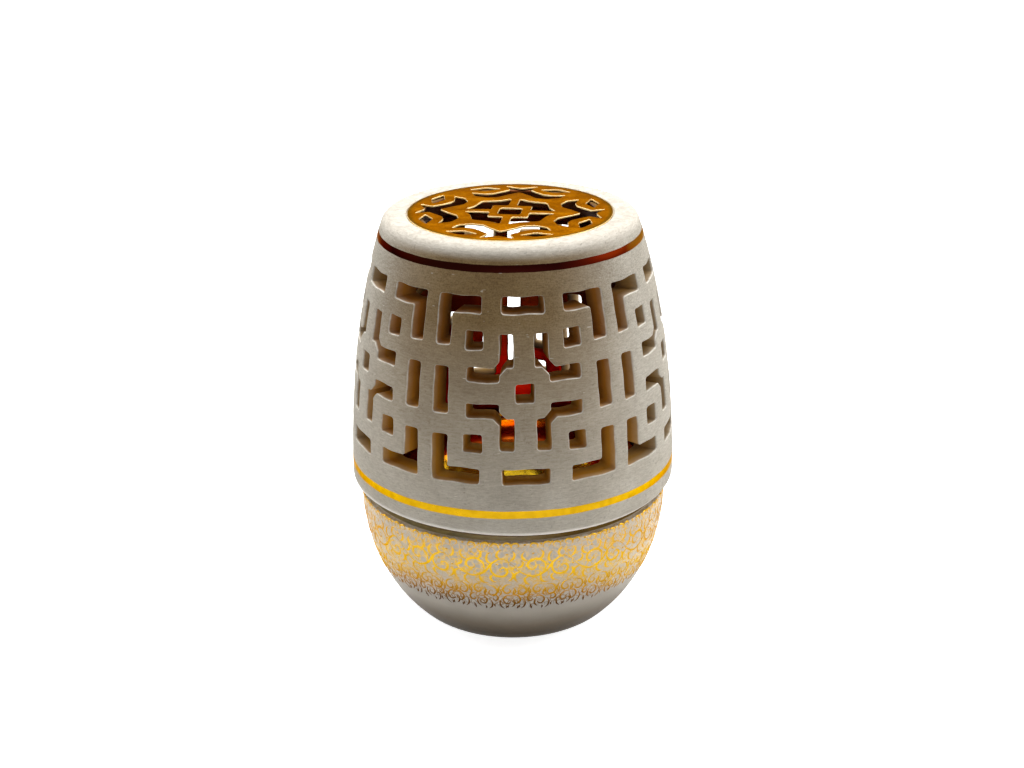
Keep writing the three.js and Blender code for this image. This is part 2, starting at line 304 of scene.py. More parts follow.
def add_node(tree, kind, inputs=(), settings=None, output=0, stops=()):
    """Adds a node with its settings, inputs and a ramp's stops; returns one of its outputs.

    Inputs are in order, or by index or name: a number, a vector, a hex colour or
    another node's output. Stops are (place, hex colour).
    """
    node = tree.nodes.new("ShaderNode" + kind)
    for name, value in (settings or {}).items():
        setattr(node, name, value)
    for name, value in inputs.items() if isinstance(inputs, dict) else enumerate(inputs):
        give(tree, node.inputs[name], value)
    for _ in stops[2:]:
        node.color_ramp.elements.new(0.5)
    for index, (place, colour) in enumerate(stops):
        element = node.color_ramp.elements[index]
        element.position, element.color = place, linear(colour)
    return node.outputs[output]


def dress(tree, **inputs):
    """Gives the Principled shader's inputs, named with _ for a space, values or links."""
    shader = tree.nodes["Principled BSDF"]
    for name, value in inputs.items():
        give(tree, shader.inputs[name.replace("_", " ")], value)


def new_material(name, **inputs):
    """A material with one Principled shader, and its node tree."""
    material = bpy.data.materials.new(name)
    material.use_nodes = True
    dress(material.node_tree, **inputs)
    return material, material.node_tree


def along_axis(tree, axis):
    """Place along one axis of the piece, in metres: X across it, Z up it."""
    place = add_node(tree, "TexCoord", output="Object")
    return add_node(tree, "SeparateXYZ", [place], output=axis)


def off_axis(tree):
    """Vector from the piece's upright axis, in metres."""
    place = add_node(tree, "TexCoord", output="Object")
    return add_node(tree, "VectorMath", [place, (1, 1, 0)], TIMES)


def facing_front(tree, low, high):
    """0 to 1 on the side of the piece that faces the front, from its Object coordinates."""
    outwards = add_node(tree, "VectorMath", [off_axis(tree)], {"operation": "NORMALIZE"})
    front = add_node(tree, "VectorMath", [outwards, FRONT], {"operation": "DOT_PRODUCT"}, "Value")
    return add_node(tree, "MapRange", [front, low, high], SMOOTH)


def sized_noise(tree, size_mm, detail=3, stretch=(1, 1, 1), roughness=0.5, bend=0):
    """Noise on Object coordinates whose blotches are `size_mm` across, stretched per axis."""
    place = add_node(tree, "TexCoord", output="Object")
    scaled = add_node(tree, "Mapping", {
        "Vector": place, "Scale": [1 / (size_mm * MM * s) for s in stretch]})
    return add_node(tree, "TexNoise", {
        "Vector": scaled, "Scale": 1, "Detail": detail, "Roughness": roughness,
        "Distortion": bend})


def gold_tone(tree, stops, low, high):
    """Tone of gold between two heights, darker lower down as a painted reflection, and
    read 9 mm higher towards the sides.

    Gold that faces sideways mirrors light surroundings, so it is given the brighter
    painted reflection of gold higher up.
    """
    raised = add_node(tree, "MapRange", [facing_front(tree, 0.4, 0.95), 0, 1, 9 * MM, 0])
    level = add_node(tree, "Math", [raised, along_axis(tree, "Z")], {"operation": "ADD"})
    # painted reflection: the gold darker lower down and lighter at the sides
    share = add_node(tree, "MapRange", [level, low * MM, high * MM])
    return add_node(tree, "ValToRGB", [share], stops=stops)


def slip_with_painted_light(tree, height, blotch):
    """Clean slip, darkened brown at the front and upwards as painted shade, and paler on the crown
    as a painted highlight.
    """
    clean = add_node(tree, "ValToRGB", [blotch], stops=[
        (0.3, "#cbc5b8"), (0.55, "#d4cec1"), (0.75, "#dbd6ca")])
    tan = add_node(tree, "ValToRGB", [blotch], stops=[
        (0.3, "#8a714c"), (0.6, "#957d58"), (0.8, "#a08965")])
    # painted shade: browner towards the top, most on the side that faces the front
    upwards = add_node(tree, "MapRange", [height, 56 * MM, 122 * MM])
    front_shade = add_node(tree, "Math", [upwards, facing_front(tree, 0.4, 1)], TIMES)
    front_shade = add_node(tree, "MapRange", [front_shade, 0, 1, 0.08, 1])
    face = add_node(tree, "Mix", {0: front_shade, 6: clean, 7: tan}, MIX, 2)
    # painted highlight: the crown's top made paler
    crown = add_node(tree, "MapRange", [height, 139.8 * MM, 143.3 * MM], SMOOTH)
    return add_node(tree, "Mix", {0: crown, 6: face, 7: "#e6dfd2"}, MIX, 2)


def worn_slip(tree, height, streak, grit, face):
    """Slip with brush lines, grain that shows more towards the crown, scuffs and pits."""
    brushed = add_node(tree, "MapRange", [streak, 0.38, 0.66, 0, 0.34])
    face = add_node(tree, "Mix", {0: brushed, 6: face, 7: "#a89c8a"}, DARKEN, 2)
    grain = add_node(tree, "MapRange", [grit, 0.42, 0.62])
    higher = add_node(tree, "MapRange", [height, 96 * MM, 132 * MM, 0.1, 0.3], SMOOTH)
    below_crown = add_node(tree, "MapRange", [height, 139 * MM, 142 * MM, 1, 0.3], SMOOTH)
    grain = add_node(tree, "Math", [grain, higher], TIMES)
    grain = add_node(tree, "Math", [grain, below_crown], TIMES)
    face = add_node(tree, "Mix", {0: grain, 6: face, 7: "#6f6350"}, DARKEN, 2)
    scuff = sized_noise(tree, 1.1, 1, (3, 3, 0.8))
    scuff = add_node(tree, "MapRange", [scuff, 0.74, 0.8, 0, 0.5])
    face = add_node(tree, "Mix", {0: scuff, 6: face, 7: "#e6dfd0"}, MIX, 2)
    pit = add_node(tree, "MapRange", [sized_noise(tree, 0.9, 0), 0.24, 0.2, 0, 0.25])
    return add_node(tree, "Mix", {0: pit, 6: face, 7: "#5c5040"}, MIX, 2)


def painted_lip_highlight(tree, height, face):
    """Slip with a painted highlight along the skirt's edge, which follows its rise to the left."""
    side = COVER_FOOT_RADIUS * MM
    leftwards = add_node(tree, "MapRange", [along_axis(tree, "X"), -side, side, 1, 0])
    squared = add_node(tree, "Math", [leftwards, leftwards], TIMES)
    above_edge = add_node(
        tree, "Math", [squared, -EDGE_RISE * MM, height], {"operation": "MULTIPLY_ADD"})
    lip = add_node(
        tree, "MapRange", [above_edge, (COVER_FOOT + 2.6) * MM, (COVER_FOOT + 1.2) * MM])
    # painted highlight along the skirt's lower edge
    return add_node(tree, "Mix", {0: lip, 6: face, 7: "#fffaf2"}, MIX, 2)


def painted_rim_highlights(tree, depth, face):
    """Slip with painted highlights on the slots' rims, in patches and most where they face up."""
    rim = add_node(tree, "MapRange", [depth, 0.0005, 0.014], SMOOTH)
    highlight_patches = add_node(tree, "MapRange", [sized_noise(tree, 2.5, 2), 0.36, 0.6, 0.55, 1])
    normal = add_node(tree, "NewGeometry", output="Normal")
    upward = add_node(tree, "SeparateXYZ", [normal], output="Z")
    upward = add_node(tree, "MapRange", [upward, -0.2, 0.55, 0.3, 1])
    rim = add_node(tree, "Math", [rim, highlight_patches], TIMES)
    rim = add_node(tree, "Math", [rim, upward], TIMES)
    # painted highlight on the rims that face up
    return add_node(tree, "Mix", {0: rim, 6: face, 7: "#fffaee"}, MIX, 2)


def tinted_walls_with_painted_light(tree, height, blotch, depth, face):
    """Slip tinted inside the slots as painted light: amber at the front, olive at the sides, dark
    inwards.
    """
    low_wall_tint = add_node(tree, "Mix", {0: blotch, 6: "#d6a03e", 7: "#b07a1e"}, MIX, 2)
    high_wall_tint = add_node(tree, "Mix", {0: blotch, 6: "#ba8034", 7: "#96601e"}, MIX, 2)
    # painted warm light reflected from the inside: amber low at the front, darker higher up, olive
    # at the sides
    upwards = add_node(tree, "MapRange", [height, 72 * MM, 118 * MM], SMOOTH)
    amber = add_node(tree, "Mix", {0: upwards, 6: low_wall_tint, 7: high_wall_tint}, MIX, 2)
    olive = add_node(tree, "Mix", {0: blotch, 6: "#a48450", 7: "#8c6c3a"}, MIX, 2)
    front = facing_front(tree, 0.3, 0.75)
    wall_tint = add_node(tree, "Mix", {0: front, 6: olive, 7: amber}, MIX, 2)
    on_cut_wall = add_node(tree, "ValToRGB", [depth], stops=[
        (0.035, "#000000"), (0.09, "#e2e2e2"), (0.4, "#ffffff")])
    face = add_node(tree, "Mix", {0: on_cut_wall, 6: face, 7: wall_tint}, MIX, 2)
    # painted shade: darker deeper inside the slots
    inwards = add_node(tree, "MapRange", [depth, 0.35, 1, 0, 0.6], SMOOTH)
    return add_node(tree, "Mix", {0: inwards, 6: face, 7: "#4a2410"}, MIX, 2)


def matte_ceramic():
    """Bisque-fired slip under a matte white wash, brushed on while the piece turned.

    The eye gets a chalky off-white with fine level brush lines, darkened brown towards
    the crown and most of all at the front as painted shade, a paler crown top as a
    painted highlight, painted highlights on the slots' rims where they face up, and cut
    walls tinted amber at the front as painted warm light from the inside, darker higher
    up, olive at the sides, and darker inwards as painted shade.
    """
    material, tree = new_material("matte_ceramic", Roughness=0.75, Specular_IOR_Level=0.08)
    height, blotch = along_axis(tree, "Z"), sized_noise(tree, 14)
    streak = sized_noise(tree, 0.45, 3, (5, 5, 1), 0.6, 0.6)
    grit = sized_noise(tree, 0.45)
    depth = add_node(tree, "Attribute", (), {"attribute_name": "wall_depth"}, "Fac")
    face = worn_slip(tree, height, streak, grit, slip_with_painted_light(tree, height, blotch))
    face = painted_rim_highlights(tree, depth, painted_lip_highlight(tree, height, face))
    dress(tree, Base_Color=tinted_walls_with_painted_light(tree, height, blotch, depth, face))
    lines = add_node(tree, "Bump", {"Height": streak, "Distance": 0.09 * MM, "Strength": 0.8})
    dress(tree, Normal=add_node(tree, "Bump", {
        "Height": grit, "Distance": 0.08 * MM, "Strength": 0.8, "Normal": lines}))
    return material


def inner_lustre_with_painted_glints():
    """Copper lustre on the cover's inner face, with painted glints and painted shade.

    The eye gets maroon at the dish, a painted glint of bright red and orange above it,
    and brown towards the crown as painted shade.
    """
    material, tree = new_material("inner_lustre_with_painted_glints", Metallic=1, Roughness=0.35)
    share = add_node(tree, "MapRange", [along_axis(tree, "Z"), 52 * MM, 132 * MM])
    # painted glints: the bright red and orange band low down; painted shade: darker towards the
    # crown
    tone = add_node(tree, "ValToRGB", [share], stops=[
        (0, "#3c0a04"), (0.075, "#5a0c06"), (0.11, "#c4140a"), (0.16, "#e0280a"), (0.2, "#c8140a"),
        (0.27, "#b4120a"), (0.36, "#8c1a0a"), (0.5, "#843012"), (1, "#5a3018")])
    patchy = add_node(tree, "MapRange", [sized_noise(tree, 9), 0.35, 0.7, 0, 0.5])
    tone = add_node(tree, "Mix", {0: patchy, 6: tone, 7: "#6b2008"}, DARKEN, 2)
    rings = sized_noise(tree, 1.2, 2, (12, 12, 1))
    dress(tree, Base_Color=tone, Normal=add_node(tree, "Bump", {
        "Height": rings, "Distance": 0.1 * MM, "Strength": 0.6}))
    return material


def filigree(tree, height, radius):
    """Share of gold between the scrolls: edges of bent cells, and under them a thin wash.

    It keeps to the bowl's outer side, more than 41 mm from the axis.
    """
    place = add_node(tree, "TexCoord", output="Object")
    swirl = add_node(tree, "TexNoise", {"Vector": place, "Scale": 1 / (1.6 * MM)}, output="Color")
    bent = add_node(
        tree, "VectorMath", [swirl, (1.5 * MM,) * 3, place], {"operation": "MULTIPLY_ADD"})
    cells = add_node(
        tree, "TexVoronoi", {"Vector": bent, "Scale": 1 / (1.9 * MM)},
        {"feature": "DISTANCE_TO_EDGE"}, "Distance")
    lines = add_node(tree, "MapRange", [cells, 0.06, 0.15, 0.9, 0], SMOOTH)
    above_fringe = add_node(tree, "MapRange", [height, 21.5 * MM, 25 * MM], SMOOTH)
    below_step = add_node(tree, "MapRange", [
        height, (STEP_HEIGHT - 0.1) * MM, (STEP_HEIGHT + 0.2) * MM, 1, 0], SMOOTH)
    lines = add_node(tree, "Math", [lines, above_fringe], TIMES)
    lines = add_node(tree, "Math", [lines, below_step], TIMES)
    wash = add_node(tree, "MapRange", [height, 24 * MM, 30 * MM, 0, 0.4], SMOOTH)
    thinned = add_node(tree, "MapRange", [height, 33 * MM, 38 * MM, 1, 0.45], SMOOTH)
    wash = add_node(tree, "Math", [wash, thinned], TIMES)
    gilded = add_node(tree, "Math", [lines, wash], {"operation": "MAXIMUM"})
    patchy = add_node(tree, "MapRange", [sized_noise(tree, 5, 2), 0.35, 0.6, 0.55, 1], SMOOTH)
    outside = add_node(tree, "MapRange", [radius, 41 * MM, 42 * MM])
    gilded = add_node(tree, "Math", [gilded, patchy], TIMES)
    return add_node(tree, "Math", [gilded, outside], TIMES)


def shadowed_groove(tree, height, radius, body):
    """Glaze with the groove under the rim shadowed, browner towards the right."""
    above = add_node(tree, "MapRange", [height, STEP_HEIGHT * MM, (STEP_HEIGHT + 0.3) * MM])
    outside = add_node(
        tree, "MapRange", [radius, (STEP_RADIUS - 0.6) * MM, (STEP_RADIUS - 0.2) * MM])
    groove = add_node(tree, "Math", [above, outside], TIMES)
    rightwards = add_node(tree, "MapRange", [along_axis(tree, "X"), -50 * MM, 50 * MM])
    shadow = add_node(tree, "ValToRGB", [rightwards], stops=[
        (0, "#625a46"), (0.25, "#5f5a42"), (0.5, "#80765f"), (0.68, "#4a3a20"), (1, "#4a3a20")])
    return add_node(tree, "Mix", {0: groove, 6: body, 7: shadow}, MIX, 2)


def glazed_ceramic():
    """Satin glaze over a white body, darkened towards the bare foot ring as painted shade.

    The eye gets a smooth cool off-white, shadowed in the groove under the rim, and
    between the scrolls a haze of gold lines finer than a hair, in cells about 2 mm wide.
    """
    material, tree = new_material("glazed_ceramic", IOR=1.45, Specular_IOR_Level=0.03)
    height = along_axis(tree, "Z")
    radius = add_node(tree, "VectorMath", [off_axis(tree)], {"operation": "LENGTH"}, "Value")
    glaze = add_node(tree, "ValToRGB", [sized_noise(tree, 12)], stops=[
        (0.3, "#c2bdb5"), (0.6, "#cac5be"), (0.8, "#d2cdc6")])
    # painted shade: darker towards the foot
    shade = add_node(tree, "ValToRGB", [
        add_node(tree, "MapRange", [height, 1 * MM, 26 * MM])], stops=[
        (0, "#42381a"), (0.25, "#635132"), (0.45, "#aa9e8e"), (0.75, "#f4f0e8"), (1, "#ffffff")])
    glaze = add_node(tree, "Mix", {0: 1, 6: glaze, 7: shade}, DARKEN, 2)
    bare = add_node(tree, "MapRange", [height, 0.2 * MM, 0.5 * MM, 1, 0])
    clay = add_node(tree, "ValToRGB", [sized_noise(tree, 0.6, 2)], stops=[
        (0.3, "#b9a98c"), (0.7, "#cdbfa4")])
    body = add_node(tree, "Mix", {0: bare, 6: glaze, 7: clay}, MIX, 2)
    body = shadowed_groove(tree, height, radius, body)
    gilded, gold = filigree(tree, height, radius), gold_tone(tree, *BOWL_GOLD)
    dress(
        tree, Base_Color=add_node(tree, "Mix", {0: gilded, 6: body, 7: gold}, MIX, 2),
        Metallic=add_node(tree, "MapRange", [gilded, 0, 1, 0, 0.8]),
        Roughness=add_node(tree, "MapRange", [bare, 0, 1, 0.38, 0.8]),
        Normal=add_node(tree, "Bump", {
            "Height": sized_noise(tree, 2.2, 2), "Distance": 0.08 * MM, "Strength": 0.35}))
    return material


def painted_gold(name, stops, low, high):
    """Bright gold lustre painted on and fired, its tone changing with the height as a
    painted reflection.

    The eye gets a thin metal film with brush marks, polished but not mirror-flat.
    """
    material, tree = new_material(name, Metallic=1, Specular_Tint="#c8a868")
    patch = sized_noise(tree, 3)
    worn = add_node(tree, "MapRange", [patch, 0.45, 0.75, 0, 0.35])
    tone = gold_tone(tree, stops, low, high)
    dress(
        tree, Base_Color=add_node(tree, "Mix", {0: worn, 6: tone, 7: "#b8b0a0"}, DARKEN, 2),
        Roughness=add_node(tree, "MapRange", [patch, 0.3, 0.7, 0.25, 0.45]),
        Normal=add_node(tree, "Bump", {
            "Height": sized_noise(tree, 0.6, 2, (6, 6, 1)), "Distance": 0.03 * MM,
            "Strength": 0.5}))
    return material


def copper_lustre_with_painted_reflection():
    """Copper-red lustre line, from gold-brown through near black to orange across the
    front as a painted reflection.

    The eye gets a dark maroon line, a painted reflection of dark surroundings, that
    turns gold where it runs out of sight.
    """
    material, tree = new_material(
        "copper_lustre_with_painted_reflection", Metallic=1, Roughness=0.4, Specular_Tint="#a08058")
    rightwards = add_node(tree, "MapRange", [along_axis(tree, "X"), -46 * MM, 46 * MM])
    # painted reflection: dark where the line faces the front, gold where it turns away
    tone = add_node(tree, "ValToRGB", [rightwards], stops=[
        (0, "#c09434"), (0.02, "#9c6c20"), (0.045, "#4a1c08"), (0.09, "#1c0804"), (0.5, "#200604"),
        (0.66, "#200504"), (0.8, "#440f04"), (0.9, "#4c1c0a"), (0.95, "#8c6424"), (1, "#b8923a")])
    dress(tree, Base_Color=tone, Normal=add_node(tree, "Bump", {
        "Height": sized_noise(tree, 0.6, 2, (6, 6, 1)), "Distance": 0.03 * MM,
        "Strength": 0.4}))
    return material


def polished_gold():
    """Spun brass dish, gold-plated and buffed, with the fine rings of the lathe.

    The eye gets yellow gold in the hollow, with red and orange bands below the flange as
    a painted reflection of the red inner wall.
    """
    material, tree = new_material("polished_gold", Metallic=1)
    patch = sized_noise(tree, 10)
    height = add_node(
        tree, "Math", [patch, 6 * MM, along_axis(tree, "Z")], {"operation": "MULTIPLY_ADD"})
    # painted reflection of the red inner wall: red and orange bands below the flange
    share = add_node(tree, "MapRange", [height, 40 * MM, 62 * MM])
    tone = add_node(tree, "ValToRGB", [share], stops=[
        (0, "#ffd430"), (0.24, "#ffc028"), (0.38, "#ee7c18"), (0.5, "#a84010"), (0.64, "#6c2008"),
        (0.74, "#c06010"), (0.86, "#f0b428")])
    dress(
        tree, Base_Color=tone, Roughness=add_node(tree, "MapRange", [patch, 0.3, 0.7, 0.1, 0.18]),
        Normal=add_node(tree, "Bump", {
            "Height": sized_noise(tree, 0.5, 1, (40, 40, 1)), "Distance": 0.02 * MM,
            "Strength": 0.5}))
    return material


def satin_gold():
    """Stamped brass sheet with a satin gold plate, mottled by handling, darkened at its rim
    by painted shade from the gap round it.
    """
    material, tree = new_material("satin_gold", Metallic=1, Specular_Tint="#c8a070")
    patch = sized_noise(tree, 6)
    tone = add_node(tree, "ValToRGB", [patch], stops=[
        (0.3, "#86560a"), (0.55, "#915d0e"), (0.8, "#9c6814")])
    speck = add_node(tree, "MapRange", [sized_noise(tree, 0.55, 2), 0.4, 0.62, 0, 0.4])
    tone = add_node(tree, "Mix", {0: speck, 6: tone, 7: "#7c6a50"}, DARKEN, 2)
    radius = add_node(tree, "VectorMath", [off_axis(tree)], {"operation": "LENGTH"}, "Value")
    # painted shade: darker towards the rim, at the gap round the sheet
    rim = add_node(tree, "MapRange", [
        radius, (GRILLE_RADIUS - 2) * MM, (GRILLE_RADIUS - 0.2) * MM, 0, 0.7], SMOOTH)
    dress(
        tree, Base_Color=add_node(tree, "Mix", {0: rim, 6: tone, 7: "#4a4218"}, MIX, 2),
        Roughness=add_node(tree, "MapRange", [patch, 0.3, 0.7, 0.42, 0.52]),
        Normal=add_node(tree, "Bump", {
            "Height": sized_noise(tree, 0.4, 2), "Distance": 0.02 * MM, "Strength": 0.5}))
    return material


def edge_highlight_gold():
    """Sheared edges of the gold-plated sheet, made pale as a painted highlight."""
    material, tree = new_material("edge_highlight_gold", Metallic=1, Roughness=0.5)
    # painted highlight on the holes' edges
    tone = add_node(tree, "ValToRGB", [sized_noise(tree, 2, 2)], stops=[
        (0.3, "#f2cc80"), (0.7, "#fff0c0")])
    dress(tree, Base_Color=tone, Normal=add_node(tree, "Bump", {
        "Height": sized_noise(tree, 0.3, 2), "Distance": 0.02 * MM, "Strength": 0.5}))
    return material


# Bowl and dish

def make_turned(name, profile, rounding, body, finish):
    """Piece in place of its body's only node, turned from parts of a profile."""
    profile = softened(np.concatenate(profile), rounding)
    faces = grid_faces(len(profile), COLUMNS)
    make_piece(name, turned_points(profile), faces, body, finish, [body])


def make_bowl(finish):
    """Bowl turned from one profile: foot ring, oval side, stepped rim, collar and hollow."""
    heights = STEP_HEIGHT * np.linspace(0, 1, 72) ** 2
    side = np.stack([bowl_radius(heights), heights], 1)
    step_radius = side[-1, 0] - RIM_STEP_DEPTH
    ring_inside = BOWL_FOOT_RADIUS - FOOT_ROUNDING - FOOT_RING_WIDTH
    hollow = arc(
        (0, BOWL_HEIGHT), (MOUTH_RADIUS, BOWL_HEIGHT - BOWL_FLOOR), 0, -math.pi / 2, 40)
    hollow[-1, 0] = 0
    profile = [
        [[0, FOOT_RECESS], [ring_inside, FOOT_RECESS], [ring_inside, 0]], side,
        [[step_radius, STEP_HEIGHT], [step_radius, BOWL_HEIGHT],
         [COLLAR_RADIUS, BOWL_HEIGHT], [COLLAR_RADIUS, COLLAR_TOP], [MOUTH_RADIUS, COLLAR_TOP]],
        hollow]
    make_turned("glazed_bowl", profile, 0.6, "bowl", finish)


def make_dish(finish):
    """Dish turned from one profile: flat foot, oval wall, flange and rolled bead."""
    flange = COLLAR_TOP + SEAT_GAP
    side_radius = MOUTH_RADIUS - DISH_CLEARANCE
    foot_angle = math.acos(DISH_FOOT_RADIUS / side_radius)
    reach = (flange - DISH_FOOT) / math.sin(foot_angle)
    outside = arc((0, flange), (side_radius, reach), -foot_angle, 0, 39)
    hollow_foot = DISH_FOOT + DISH_SHEET
    top = flange + DISH_SHEET
    hollow = arc(
        (0, top), (side_radius - DISH_SHEET, reach),
        0, -math.asin((top - hollow_foot) / reach), 39)
    bead = arc(
        (DISH_BEAD_RADIUS - DISH_BEAD, flange + DISH_BEAD), DISH_BEAD,
        -math.pi / 2, math.pi * 0.72, 16)
    profile = [
        [[0, DISH_FOOT]], outside, bead, [[DISH_BEAD_RADIUS - 2.2 * DISH_BEAD, top]], hollow,
        [[0, hollow_foot]]]
    make_turned("spun_dish", profile, 0.7, "charcoal_dish", finish)


# Cover

# Slots of a panel as shares of its half width and half height
FRAME_OUTER, FRAME_INNER, FRAME_ARM = 1, 0.825, 0.48
EYE = (0.45, 0.652)
HOOK_ARM, HOOK_NEAR, HOOK_FAR, HOOK_BEVEL = 0.625, 0.115, 0.27, 0.335
BOSS_BEVEL, EDGE_BAR, CENTRE_HOLE = 0.19, 0.25, 0.103


def slot_box(left, right, low, high):
    """Four corners of a slot between two places across and two places up."""
    return np.array([[left, low], [right, low], [right, high], [left, high]])


def square(half):
    """Four corners of a square about the middle."""
    return slot_box(-half, half, -half, half)


def panel_slots():
    """Corner shares of every slot: four mirrored quarters, four edge bars and the centre."""
    corner = [
        [FRAME_OUTER, FRAME_OUTER], [FRAME_ARM, FRAME_OUTER],
        [FRAME_ARM, FRAME_INNER], [FRAME_INNER, FRAME_INNER],
        [FRAME_INNER, FRAME_ARM], [FRAME_OUTER, FRAME_ARM]]
    hook = [
        [HOOK_ARM, HOOK_NEAR], [HOOK_ARM, HOOK_FAR],
        [HOOK_BEVEL, HOOK_FAR], [HOOK_FAR, HOOK_BEVEL],
        [HOOK_FAR, HOOK_ARM], [HOOK_NEAR, HOOK_ARM],
        [HOOK_NEAR, HOOK_FAR], [BOSS_BEVEL, HOOK_FAR],
        [HOOK_FAR, BOSS_BEVEL], [HOOK_FAR, HOOK_NEAR]]
    slots = [
        slot * np.array((across, up)) for slot in (corner, hook, slot_box(*EYE, *EYE))
        for across in (-1, 1) for up in (-1, 1)]
    for side in (-1, 1):
        near, far = side * FRAME_INNER, side * FRAME_OUTER
        slots.append(slot_box(-EDGE_BAR, EDGE_BAR, near, far))
        slots.append(slot_box(near, far, -EDGE_BAR, EDGE_BAR))
    return [*slots, square(CENTRE_HOLE)]


def rounded_outline(corners):
    """Closed outline of a slot with round corners: its points and outward normals.

    Each corner becomes an arc about the point that lies inside both its sides by
    the radius, which is less where a side is too short for it. Its normals turn from
    one side's to the next, so moving each point along its normal gives the outline
    grown or shrunk by that distance.
    """
    ahead = np.roll(corners, -1, 0)
    if np.sum(corners[:, 0] * ahead[:, 1] - ahead[:, 0] * corners[:, 1]) < 0:
        corners = corners[::-1]      # now anticlockwise
    side = np.roll(corners, -1, 0) - corners
    length = np.linalg.norm(side, axis=1)
    side_normal = np.stack([side[:, 1], -side[:, 0]], 1) / length[:, None]
    points, normals = [], []
    for i, corner in enumerate(corners):
        first, second = side_normal[i - 1], side_normal[i]
        turn = math.atan2(first[0] * second[1] - first[1] * second[0], first @ second)
        longest = min(length[i - 1], length[i]) / 2.2 / abs(math.tan(turn / 2))
        size = math.copysign(min(SLOT_CORNER, longest), turn)
        centre = corner - (first + second) / (1 + first @ second) * size
        count = max(1, round(CORNER_STEPS * abs(turn) / (math.pi / 2)))
        angle = math.atan2(first[1], first[0]) + np.linspace(0, turn, count + 1)
        normal = np.stack([np.cos(angle), np.sin(angle)], 1)
        points.append(centre + normal * size)
        normals.append(normal)
    filled_points, filled_normals = [], []
    for i, (arc_points, arc_normals) in enumerate(zip(points, normals)):
        gap = points[(i + 1) % len(points)][0] - arc_points[-1]
        extra = int(np.linalg.norm(gap) / SLOT_STEP)
        share = np.arange(1, extra + 1)[:, None] / (extra + 1)
        filled_points += [arc_points, arc_points[-1] + share * gap]
        filled_normals += [arc_normals, np.repeat(arc_normals[-1:], extra, 0)]
    return np.concatenate(filled_points), np.concatenate(filled_normals)


def inside_outline(points, outline):
    """Which points lie inside a closed outline, by counting the sides left of each."""
    start, end = outline, np.roll(outline, -1, 0)
    x, y = points[:, :1], points[:, 1:]
    spans = (start[:, 1] > y) != (end[:, 1] > y)
    rise = np.where(end[:, 1] == start[:, 1], 1, end[:, 1] - start[:, 1])
    crossing = start[:, 0] + (y - start[:, 1]) / rise * (end[:, 0] - start[:, 0])
    return np.sum(spans & (x < crossing), axis=1) % 2 == 1


def panel_skin(outlines, half_width):
    """Triangles of the unrolled wall between the slots: a grid of points and the outlines.

    Grid points in a slot or closer than 0.6 of the step to an outline are left out,
    the rest is a constrained Delaunay mesh, and its triangles in slots are dropped.
    """
    across = np.linspace(-half_width, half_width, COLUMNS // PANEL_COUNT + 1)
    up = np.linspace(
        PIERCED_LOW, PIERCED_HIGH, round((PIERCED_HIGH - PIERCED_LOW) / MESH_STEP) + 1)
    grid = np.stack(np.meshgrid(across, up), -1).reshape(-1, 2)
    rim = np.concatenate(outlines)
    nearest = np.min(np.linalg.norm(grid[:, None] - rim[None], axis=2), axis=1)
    keep = nearest > 0.6 * MESH_STEP
    for outline in outlines:
        keep &= ~inside_outline(grid, outline)
    on_edge = np.isin(grid[:, 0], across[[0, -1]]) | np.isin(grid[:, 1], up[[0, -1]])
    grid = grid[keep | on_edge]
    edges = []
    start = len(grid)
    for outline in outlines:
        index = np.arange(len(outline))
        edges.append(np.stack([start + index, start + np.roll(index, -1)], 1))
        start += len(outline)
    flat = np.concatenate([grid, rim])
    points, _, triangles, *_ = delaunay_2d_cdt(
        [Vector(p) for p in flat], np.concatenate(edges).tolist(), [], 0, 1e-6, False)
    points, triangles = np.array(points), np.array(triangles)
    middle = points[triangles].mean(1)
    solid = np.ones(len(triangles), bool)
    for outline in outlines:
        solid &= ~inside_outline(middle, outline)
    return points, triangles[solid]


def wall_point(across, up, depth, panel_angle):
    """Unrolled place to space: the angle is across over the mean radius.

    A slow wave moves the slots' edges, as a hand-held knife does, by up to 0.15 mm
    across and 0.13 mm up. It fades out at the top and foot of the meshed wall.
    """
    angle = panel_angle + across / MEAN_RADIUS
    fade = np.clip(np.minimum(up - PIERCED_LOW, PIERCED_HIGH - up) / MARGIN, 0, 1)
    slide = 0.15 * fade * np.sin(23 * angle + 0.31 * up) * np.cos(0.43 * up - 11 * angle)
    lift = 0.13 * fade * np.sin(31 * angle - 0.27 * up)
    angle, up = angle + slide / MEAN_RADIUS, up + lift
    return about_axis(cover_radius(up) - depth, angle, up)


def slot_walls(outline, normals, panel_angle):
    """Wall of one slot: a lip profile carried along the outline, rounded at both faces."""
    turn = np.linspace(0, math.pi / 2, 4)
    lip_depth = SLOT_LIP * (1 - np.cos(turn))
    lip_grow = SLOT_LIP * (1 - np.sin(turn))
    middle = np.linspace(SLOT_LIP, COVER_WALL - SLOT_LIP, 5)[1:-1]
    depth = np.concatenate([lip_depth, middle, COVER_WALL - lip_depth[::-1]])
    grow = np.concatenate([lip_grow, 0 * middle, lip_grow[::-1]])
    place = outline[None] + grow[:, None, None] * normals[None]
    depth = np.repeat(depth[:, None], len(outline), 1)
    points = wall_point(place[..., 0], place[..., 1], depth, panel_angle)
    return points.reshape(-1, 3), grid_faces(*depth.shape), depth.ravel()


def cover_side(heights, depth=0):
    """Points [radius, height] at a depth inside the cover's outer face."""
    return np.stack([cover_radius(heights) - depth, heights], 1)


def cover_lower_profile():
    """Profile below the pierced wall: down its outer face, round the edge and up the bore."""
    outer = cover_side(np.linspace(PIERCED_LOW, COVER_FOOT, 26))
    bore = cover_side(np.linspace(COVER_FOOT, PIERCED_LOW, 8), COVER_WALL)
    bore[bore[:, 1] <= BELLY_HEIGHT, 0] = COVER_BORE
    return softened(np.concatenate([outer, bore]), 0.35)


